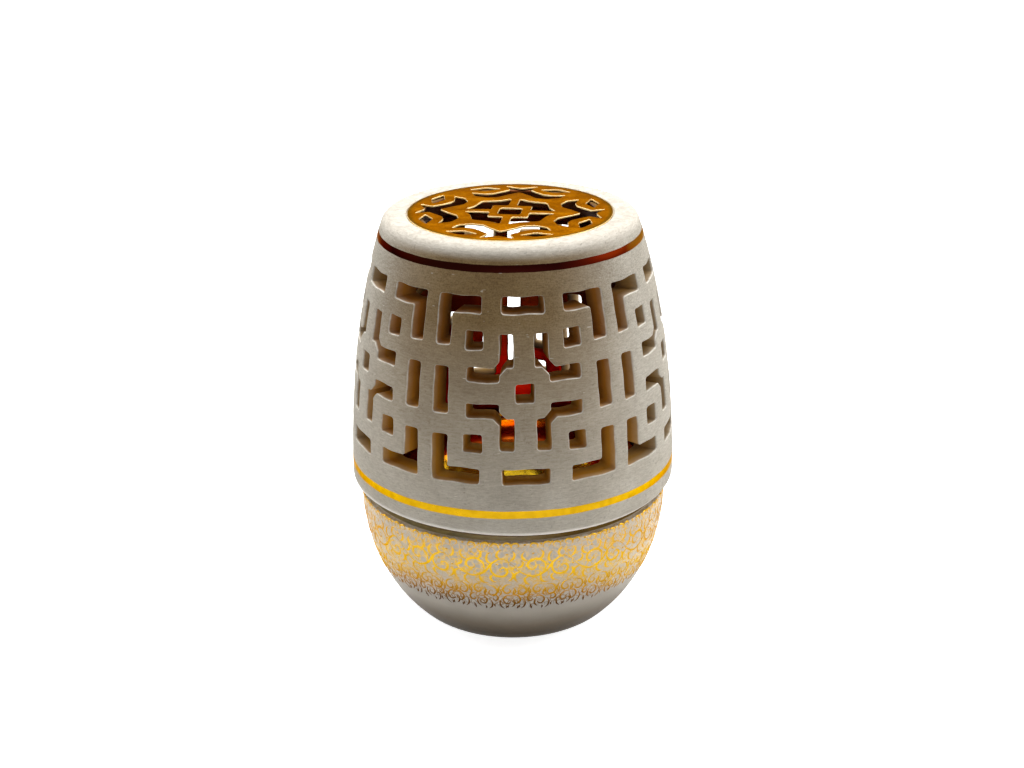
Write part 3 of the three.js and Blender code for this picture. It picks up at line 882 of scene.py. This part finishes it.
def uneven_edge(points):
    """Heights of the cover's skirt, whose outer edge was cut higher on the left.

    The edge is raised by EDGE_RISE ((1 - across / radius) / 2)^2. Up the skirt that
    fades with the square of the share of the way down, and inwards over 3 mm.
    """
    across, along, up = points.T
    radius = np.hypot(across, along)
    down = np.clip((BELLY_HEIGHT - up) / BELLY_RISE, 0, 1)
    outwards = np.clip((radius - COVER_FOOT_RADIUS + 3) / 3, 0, 1)
    return up + EDGE_RISE * ((1 - across / radius) / 2) ** 2 * down ** 2 * outwards


def cover_upper_profile():
    """Profile above the pierced wall: up its inner face to the ledge, rebate, crown and side."""
    ledge_top = COVER_TOP - GRILLE_THICKNESS - SEAT_GAP
    ledge_low = ledge_top - LEDGE_THICKNESS
    ledge_radius = REBATE_RADIUS - LEDGE_WIDTH
    vault_height = ledge_low - VAULT_RADIUS
    wall = cover_side(np.linspace(PIERCED_HIGH, vault_height, 3), COVER_WALL)
    vault = arc((wall[-1, 0] - VAULT_RADIUS, vault_height), VAULT_RADIUS, 0, math.pi / 2, 8)
    crown = arc(
        (CROWN_CENTRE, COVER_TOP - CROWN_ROUND), CROWN_ROUND, math.pi / 2, CROWN_LEAN, 16)
    side = cover_side(np.linspace(LEAN_HEIGHT, PIERCED_HIGH, 8))
    return softened(np.concatenate([
        wall, vault[1:],
        [[ledge_radius, ledge_low], [ledge_radius, ledge_top],
         [REBATE_RADIUS, ledge_top], [REBATE_RADIUS, COVER_TOP]],
        crown, side[1:]]), 0.5)


def cover_band(profile):
    """Points, faces and depths of a turned band of the cover whose columns meet the panels'.

    Its inner face is what lies over 2 mm inside the side or over 1 mm inside the rebate.
    """
    points = turned_points(profile)
    points[:, :2] = spun(points[:, :2], PANEL_TURN - math.pi / PANEL_COUNT)
    points[:, 2] = uneven_edge(points)
    radius, height = profile.T
    inner = radius < np.where(
        height < COVER_TOP - CROWN_ROUND, cover_radius(height) - 2, REBATE_RADIUS - 1)
    depth = np.repeat(np.where(inner, COVER_WALL, 0), COLUMNS)
    return points, grid_faces(len(profile), COLUMNS), depth


def make_cover(finish, inner_finish):
    """Pierced shell: five meshed panels with rounded slots between two turned bands."""
    half_angle = math.pi / PANEL_COUNT
    half_width = (half_angle - PILLAR_WIDTH / 2 / BELLY_RADIUS) * MEAN_RADIUS
    slots = [
        rounded_outline(slot * (half_width, PANEL_HEIGHT / 2) + (0, PANEL_MIDDLE))
        for slot in panel_slots()]
    skin, triangles = panel_skin(
        [outline + SLOT_LIP * normals for outline, normals in slots], half_angle * MEAN_RADIUS)
    parts = []
    for panel in range(PANEL_COUNT):
        panel_angle = PANEL_TURN + 2 * math.pi * panel / PANEL_COUNT
        for depth, order in ((0, 1), (COVER_WALL, -1)):
            parts.append((
                wall_point(skin[:, 0], skin[:, 1], depth, panel_angle), triangles[:, ::order],
                np.full(len(skin), depth)))
        parts += [slot_walls(outline, normals, panel_angle) for outline, normals in slots]
    parts += [cover_band(cover_lower_profile()), cover_band(cover_upper_profile())]
    points, faces = joined(part[:2] for part in parts)
    depth_share = np.concatenate([part[2] for part in parts]) / COVER_WALL
    cover = make_piece(
        "lattice_cover", points, faces, "cover", finish, ["pierced_cover"],
        marks={"wall_depth": depth_share})
    cover.data.materials.append(inner_finish)
    mark_inner_faces(cover)


def mark_inner_faces(cover):
    """Gives the second finish to faces whose every corner lies on the wall's inner face."""
    mesh = cover.data
    depth = values_of(mesh.attributes["wall_depth"].data, "value", np.float32)
    vertex = values_of(mesh.loops, "vertex_index", np.int32)
    first = values_of(mesh.polygons, "loop_start", np.int32)
    shallowest = np.minimum.reduceat(depth[vertex], first)
    mesh.polygons.foreach_set("material_index", (shallowest > 0.999).astype(np.int32))


# Gold lines and scrolls

# Section of a line: share of the way up it, and how far it stands over the ceramic
LINE_SECTION = ((0, -0.05), (0.12, 0.05), (0.5, 0.07), (0.88, 0.05), (1, -0.05), (0.5, -0.3))


def make_line(name, height, width, wave, finish):
    """Painted line round the cover, whose paint stands up to 0.07 mm over the surface.

    Its edges wander by `wave` times sums of sines of the angle, as a brush on a wheel does.
    """
    angle = np.arange(COLUMNS * 2) * math.pi / COLUMNS
    low = height - width / 2 + wave * (
        np.sin(3 * angle) + 0.6 * np.sin(11 * angle + 1) + 0.4 * np.sin(29 * angle))
    high = height + width / 2 + wave * (
        np.sin(4 * angle + 2) + 0.6 * np.sin(13 * angle) + 0.4 * np.sin(31 * angle + 1))
    rows = []
    for share, lift in LINE_SECTION:
        up = low + (high - low) * share
        rows.append(about_axis(cover_radius(up) + lift, angle, up))
    faces = grid_faces(len(rows), len(angle), rows_close=True)
    make_piece(name, np.concatenate(rows), faces, "cover", finish)


REPEATS = 16          # times the scroll motif goes round the bowl
BAND_RADIUS = 50      # radius at which the band is drawn flat
RELIEF = 0.14         # how far a stroke stands over the glaze


def flow(places, steps):
    """Smooth path through places: a Catmull-Rom cubic from each one to the next."""
    places = np.array(places, float)
    ends = np.concatenate([[2 * places[0] - places[1]], places, [2 * places[-1] - places[-2]]])
    share = np.arange(steps)[:, None] / steps
    sides = []
    for before, start, end, after in zip(ends, ends[1:], ends[2:], ends[3:]):
        sides.append(
            start + share * (end - before) / 2
            + share ** 2 * (before - 2.5 * start + 2 * end - after / 2)
            + share ** 3 * (1.5 * (start - end) + (after - before) / 2))
    return np.concatenate([*sides, places[-1:]])


def swell(path, widest, peak):
    """Half widths along a path: a sine arch whose peak lies at a share of the way."""
    share = np.linspace(0, 1, len(path))
    warped = share ** (math.log(0.5) / math.log(peak))
    return 0.05 + (widest - 0.05) * np.sin(math.pi * warped) ** 0.8


# Strokes of one repeat. A stem or leaf has its own places, (across, up) in the
# unrolled band. A curl, loop, hook or tail is one shape set down at several places
# as (across, up, side it turns to, size).
STEMS = [
    [(-0.6, 40.6), (2.2, 37.4), (6.2, 35.6), (10.2, 37.4), (12.6, 40.8), (16, 42.6), (19.4, 40.2)],
    [(10, 37.2), (9.9, 40.4), (7.6, 42.3), (5, 41.6), (4.3, 39.6), (5.8, 38.3), (7.1, 39.3),
     (6.4, 40.4)],
    [(12.6, 41), (12.2, 38.2), (13.8, 36), (16.4, 35.9), (17.6, 37.7), (16.4, 39.2), (15, 38.5),
     (15.5, 37.5)],
]
LEAVES = [
    [(1.9, 37.6), (0.3, 36.6), (0.3, 34.6), (1.3, 33.4)],
    [(4.6, 35.9), (3.4, 34.7), (3.9, 32.9), (5.4, 32.1)],
    [(8.6, 36.2), (8.6, 34.4), (9.8, 33.1), (11.4, 33.1)],
    [(12.3, 40.6), (11, 41.8), (11.2, 43.8), (12.4, 45)],
    [(15.2, 42.5), (14.2, 43.5), (14.6, 45.2), (16, 46)],
    [(18.2, 41.8), (19.4, 42.6), (19.8, 44.4), (19, 45.6)],
    [(7.6, 42.2), (8.9, 43), (9.2, 44.6), (8.2, 45.8)],
    [(4.6, 41.7), (3, 42.3), (2.5, 43.9), (3.4, 45.4)],
    [(0.9, 39.2), (2.3, 39.7), (2.8, 41.1), (2, 42)],
    [(18.6, 37.8), (19.4, 36.4), (18.8, 34.6), (17.4, 33.8)],
    [(12.9, 36.4), (12, 35.2), (12.7, 33.8), (14, 33.2)],
]
CURL = [(-1.4, -0.2), (-1.2, 1.1), (0.2, 1.6), (1, 0.7), (0.2, 0)]
LOOP = [(-1.6, 2.8), (0.6, 2.2), (1.6, 0.2), (0.5, -1.4), (-1, -0.9), (-0.8, 0.6), (0.2, 0.6)]
HOOK = [(-2, 2.2), (-0.1, 2.3), (1.1, 0.6), (0.2, -1.1), (-1.2, -0.5), (-0.7, 0.8)]
TAIL = [(-0.6, 2.6), (0.5, 0.6), (0.2, -1.4), (-1, -2.6)]
DOT = [(-0.45, 0), (0.45, 0.1)]
BUD = [(0, 0.7), (0.4, 0), (0.2, -0.8)]
CURLS = [
    (0.6, 46.6, 1, 1), (6.1, 46.5, -1, 1), (10.6, 46.7, 1, 1), (13.4, 46.4, -1, 1),
    (17.3, 46.7, -1, 1)]
LOOPS = [(2.4, 29.6, 1, 1), (7.6, 30.2, -1, 0.86), (12.3, 29.2, 1, 1.06), (17.3, 30.1, -1, 0.9)]
SPRIGS = [
    (5, 29.6, 1, 0.7), (5, 30.2, -1, 0.7), (14.9, 29.2, 1, 0.7), (14.7, 30.1, -1, 0.7),
    (0, 29.2, -1, 0.6), (10, 29.8, 1, 0.6), (9.9, 28.8, -1, 0.6), (19.7, 29.7, 1, 0.6)]
HOOKS = [
    (0.9, 25.5, 1, 1.1), (5.3, 26.2, -1, 0.8), (9.2, 25, 1, 1), (13.3, 26.3, 1, 0.75),
    (17, 25.3, -1, 1.05)]
TAILS = [
    (3.2, 24.4, 1, 1), (7.3, 24.7, -1, 0.8), (11.6, 23.9, 1, 0.9), (15.2, 24.3, -1, 1),
    (19.4, 24.6, 1, 0.8)]
DOTS = [
    (3.4, 47.6, 1, 1), (8.6, 47.7, 1, 1), (12, 48, 1, 1), (15.3, 47.7, 1, 1), (10.9, 40, 1, 1),
    (19.2, 38.9, 1, 1), (14.4, 40.3, 1, 1), (6, 44.4, 1, 1), (17.5, 44.2, 1, 1)]
BUDS = [
    (0.8, 22.6, 1, 1), (2, 23.1, -1, 1), (5.2, 23.2, 1, 1.2), (6.3, 22.3, -1, 1), (9.4, 22.3, 1, 1),
    (13.2, 23.4, -1, 1.2), (16.6, 22.7, 1, 1), (17.8, 23, -1, 1)]


def scroll_motif():
    """Strokes of one repeat, as (path, half widths), between z 21 and 48 on the bowl.

    A vine with leaves runs along the middle, curls and dots stand over it, and loops,
    hooks, tails and buds hang under it as a fringe.
    """
    plain = [(0, 0, 1, 1)]
    kinds = [
        *((stem, plain, 0.5, 0.5, 5) for stem in STEMS[:1]),
        *((stem, plain, 0.54, 0.35, 5) for stem in STEMS[1:]),
        *((leaf, plain, 0.52, 0.4, 4) for leaf in LEAVES),
        (CURL, CURLS, 0.34, 0.4, 3), (DOT, DOTS, 0.4, 0.5, 4), (LOOP, LOOPS, 0.42, 0.4, 4),
        (TAIL, SPRIGS, 0.34, 0.45, 3), (HOOK, HOOKS, 0.4, 0.45, 4), (TAIL, TAILS, 0.38, 0.55, 3),
        (BUD, BUDS, 0.36, 0.6, 3)]
    strokes = []
    for shape, places, widest, peak, steps in kinds:
        path = flow(shape, steps)
        half = swell(path, widest, peak)
        for across, up, side, size in places:
            strokes.append((path * (side * size, size) + (across, up), half))
    return strokes


def bowl_point(across, up, lift, turn):
    """Flat place on the band to space, lifted along the oval side's outward normal."""
    tilt = np.arctan((bowl_radius(up + 0.05) - bowl_radius(up - 0.05)) / 0.1)
    radius = bowl_radius(up) + lift * np.cos(tilt)
    return about_axis(radius, across / BAND_RADIUS + turn, up - lift * np.sin(tilt))


def make_scrolls(finish):
    """Raised gold strokes on the bowl: each path carries a low four-cornered section."""
    parts = []
    for path, half in scroll_motif():
        along = np.gradient(path, axis=0)
        along /= np.linalg.norm(along, axis=1)[:, None]
        aside = np.stack([-along[:, 1], along[:, 0]], 1) * half[:, None]
        lift = RELIEF * np.sqrt(half / half.max())
        rows = [(path - aside, -0.04), (path, lift), (path + aside, -0.04), (path, -0.12)]
        last = 4 * len(path) - 4
        ends = [[0, 1, 2, 3], [last, last + 3, last + 2, last + 1]]
        faces = np.concatenate([grid_faces(len(path), 4), ends])
        for repeat in range(REPEATS):
            turn = 2 * math.pi * repeat / REPEATS
            ring = np.stack([bowl_point(*row.T, rise, turn) for row, rise in rows], 1)
            parts.append((ring.reshape(-1, 3), faces))
    make_piece("gold_scrolls", *joined(parts), "bowl", finish)


# Grille

# Outlines of the holes as shares of the disc's radius
RING_HOLE = 0.112
CORNER_HOLE = np.array([
    [0.042, 0.195], [0.195, 0.195], [0.195, 0.042], [0.44, 0.042],
    [0.37, 0.15], [0.325, 0.325], [0.15, 0.37], [0.042, 0.44]])
ARCH_HALF = np.array([
    [0.1, 0.595], [0.19, 0.49], [0.3, 0.462], [0.425, 0.513], [0.475, 0.625],
    [0.34, 0.6], [0.255, 0.625], [0.165, 0.715], [0.105, 0.785], [0.165, 0.915]])
ARCH_FOOT, ARCH_HEAD = [[0, 0.69]], [[0, 0.84]]
LEAF = np.array([[0.195, 0.8], [0.34, 0.7], [0.52, 0.74], [0.365, 0.838]])


def corner_cut(outline):
    """Closed outline with its corners cut off a tenth of the way along each side."""
    ahead = np.roll(outline, -1, 0)
    cut = np.stack([0.9 * outline + 0.1 * ahead, 0.1 * outline + 0.9 * ahead], 1)
    return cut.reshape(-1, 2)


def grille_holes():
    """Closed outlines of every hole, in millimetres on the disc."""
    mirror = np.array([-1, 1])
    arch = np.concatenate([ARCH_FOOT, ARCH_HALF, ARCH_HEAD, ARCH_HALF[::-1] * mirror])
    quarter = [corner_cut(hole) for hole in (CORNER_HOLE, arch, LEAF, LEAF * mirror)]
    holes = [corner_cut(square(RING_HOLE))]
    for turn in np.arange(4) * math.pi / 2:
        holes += [spun(hole, turn) for hole in quarter]
    return [hole * GRILLE_RADIUS for hole in holes]


def make_grille(finish, edge_finish):
    """Pierced sheet: flat outlines filled, thickened and given a small worn bevel."""
    bevel = 0.1
    outline = bpy.data.curves.new("grille_outline", "CURVE")
    outline.dimensions = "2D"
    outline.fill_mode = "BOTH"
    outline.extrude = (GRILLE_THICKNESS / 2 - bevel) * MM
    outline.bevel_depth = bevel * MM
    outline.bevel_resolution = 2
    outline.offset = -bevel * MM
    rim = arc((0, 0), GRILLE_RADIUS, 0, 2 * math.pi, 192)[:-1]
    for loop in [rim, *grille_holes()]:
        spline = outline.splines.new("POLY")
        spline.points.add(len(loop) - 1)
        flat = np.zeros((len(loop), 4))
        flat[:, :2] = loop * MM
        flat[:, 3] = 1
        spline.points.foreach_set("co", flat.ravel())
        spline.use_cyclic_u = True
    holder = bpy.data.objects.new("grille_outline", outline)
    mesh = bpy.data.meshes.new_from_object(holder)
    bpy.data.objects.remove(holder)
    bpy.data.curves.remove(outline)
    middle = COVER_TOP - GRILLE_THICKNESS / 2
    mesh.transform(Matrix.Translation((0, 0, middle * MM)) @ Matrix.Rotation(GRILLE_TURN, 4, "Z"))
    clean_mesh(mesh, 0.002, 35)
    mesh.materials.clear()
    mesh.materials.append(finish)
    mesh.materials.append(edge_finish)
    # the holes' upright edges take the painted highlight
    normals = values_of(mesh.polygons, "normal", np.float32, 3)
    upright = np.abs(normals[2::3]) < 0.9
    mesh.polygons.foreach_set("material_index", upright.astype(np.int32))
    piece = add_object("pierced_grille", mesh)
    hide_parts("grille")
    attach(piece, "grille")


# Camera, floor and light

PHOTO_WIDTH = 1024    # in pixels
FOCAL_PIXELS = 1900
SENSOR_WIDTH = 36
CAMERA_DISTANCE = 648
CAMERA_RISE = math.radians(21.1)
CAMERA_ROLL = math.radians(-0.64)
CAMERA_AIM = (0, 0, 83.2)
LAMP_AIM = (0, 0, 75)


def make_camera():
    """Camera at the photograph's angle: above the front, rolled by 0.64 degrees."""
    data = bpy.data.cameras.new("camera")
    data.sensor_width = SENSOR_WIDTH
    data.lens = FOCAL_PIXELS * SENSOR_WIDTH / PHOTO_WIDTH
    data.clip_start = 0.01
    camera = add_object("camera", data)
    turn = Matrix.Rotation(math.pi / 2 - CAMERA_RISE, 4, "X")
    roll = Matrix.Rotation(CAMERA_ROLL, 4, "Z")
    aim = Matrix.Translation(Vector(CAMERA_AIM) * MM)
    camera.matrix_world = aim @ turn @ roll @ Matrix.Translation((0, 0, CAMERA_DISTANCE * MM))
    bpy.context.scene.camera = camera


def seen_directly(tree):
    """1 for rays from the camera, off gloss and through glass, 0 for the rest."""
    camera, gloss, glass = (
        add_node(tree, "LightPath", output=f"Is {kind} Ray")
        for kind in ("Camera", "Glossy", "Transmission"))
    seen = add_node(tree, "Math", [camera, gloss], {"operation": "MAXIMUM"})
    return add_node(tree, "Math", [seen, glass], {"operation": "MAXIMUM"})


def make_floor():
    """Plain pale floor, white to the eye and to gloss, that still takes a soft shadow."""
    half = 4      # half the floor's side, in metres
    mesh = bpy.data.meshes.new("floor")
    corners = [(-half, -half, 0), (half, -half, 0), (half, half, 0), (-half, half, 0)]
    mesh.from_pydata(corners, [], [(0, 1, 2, 3)])
    floor = add_object("floor", mesh)
    material, tree = new_material("floor_paper", Roughness=0.9, Emission_Color="#ffffff")
    seen = seen_directly(tree)
    dress(
        tree, Base_Color=add_node(tree, "Mix", {0: seen, 6: "#d0d0d0", 7: "#f4f4f4"}, MIX, 2),
        Emission_Strength=add_node(tree, "MapRange", [seen, 0, 1, 0, 0.85]))
    mesh.materials.append(material)


def make_world():
    """White behind the object; a plain grey light for everything the world lights."""
    world = bpy.data.worlds.new("studio")
    world.use_nodes = True
    tree = world.node_tree
    seen = seen_directly(tree)
    colour = add_node(tree, "Mix", {0: seen, 6: "#666666", 7: "#ffffff"}, MIX, 2)
    give(tree, tree.nodes["Background"].inputs["Color"], colour)
    bpy.context.scene.world = world


def make_lamp(name, place, size, power):
    """Soft square lamp at a place in millimetres, its side in metres and power in watts."""
    data = bpy.data.lights.new(name, "AREA")
    data.size = size
    data.energy = power
    lamp = add_object(name, data)
    lamp.location = Vector(place) * MM
    aim = Vector(LAMP_AIM) * MM - lamp.location
    lamp.rotation_euler = aim.to_track_quat("-Z", "Y").to_euler()


make_camera()
make_world()
make_floor()
make_lamp("top_lamp", (0, 270, 850), 0.6, 8.4)
make_lamp("left_lamp", (-760, 180, 330), 0.5, 2.6)
make_lamp("right_lamp", (760, 40, 380), 0.5, 3.7)
make_lamp("front_lamp", (60, -900, 60), 0.7, 2.4)

make_bowl(glazed_ceramic())
make_dish(polished_gold())
make_cover(matte_ceramic(), inner_lustre_with_painted_glints())
make_grille(satin_gold(), edge_highlight_gold())
make_scrolls(painted_gold("scroll_gold", *BOWL_GOLD))
line_gold = painted_gold("line_gold", [(0, "#ac860e"), (1, "#b68e12")], 55, 65)
make_line("lower_gold_line", 59.5, 2.9, 0.06, line_gold)
make_line("upper_copper_line", 138.1, 2.5, 0.05, copper_lustre_with_painted_reflection())

bpy.context.scene.view_settings.view_transform = "Standard"
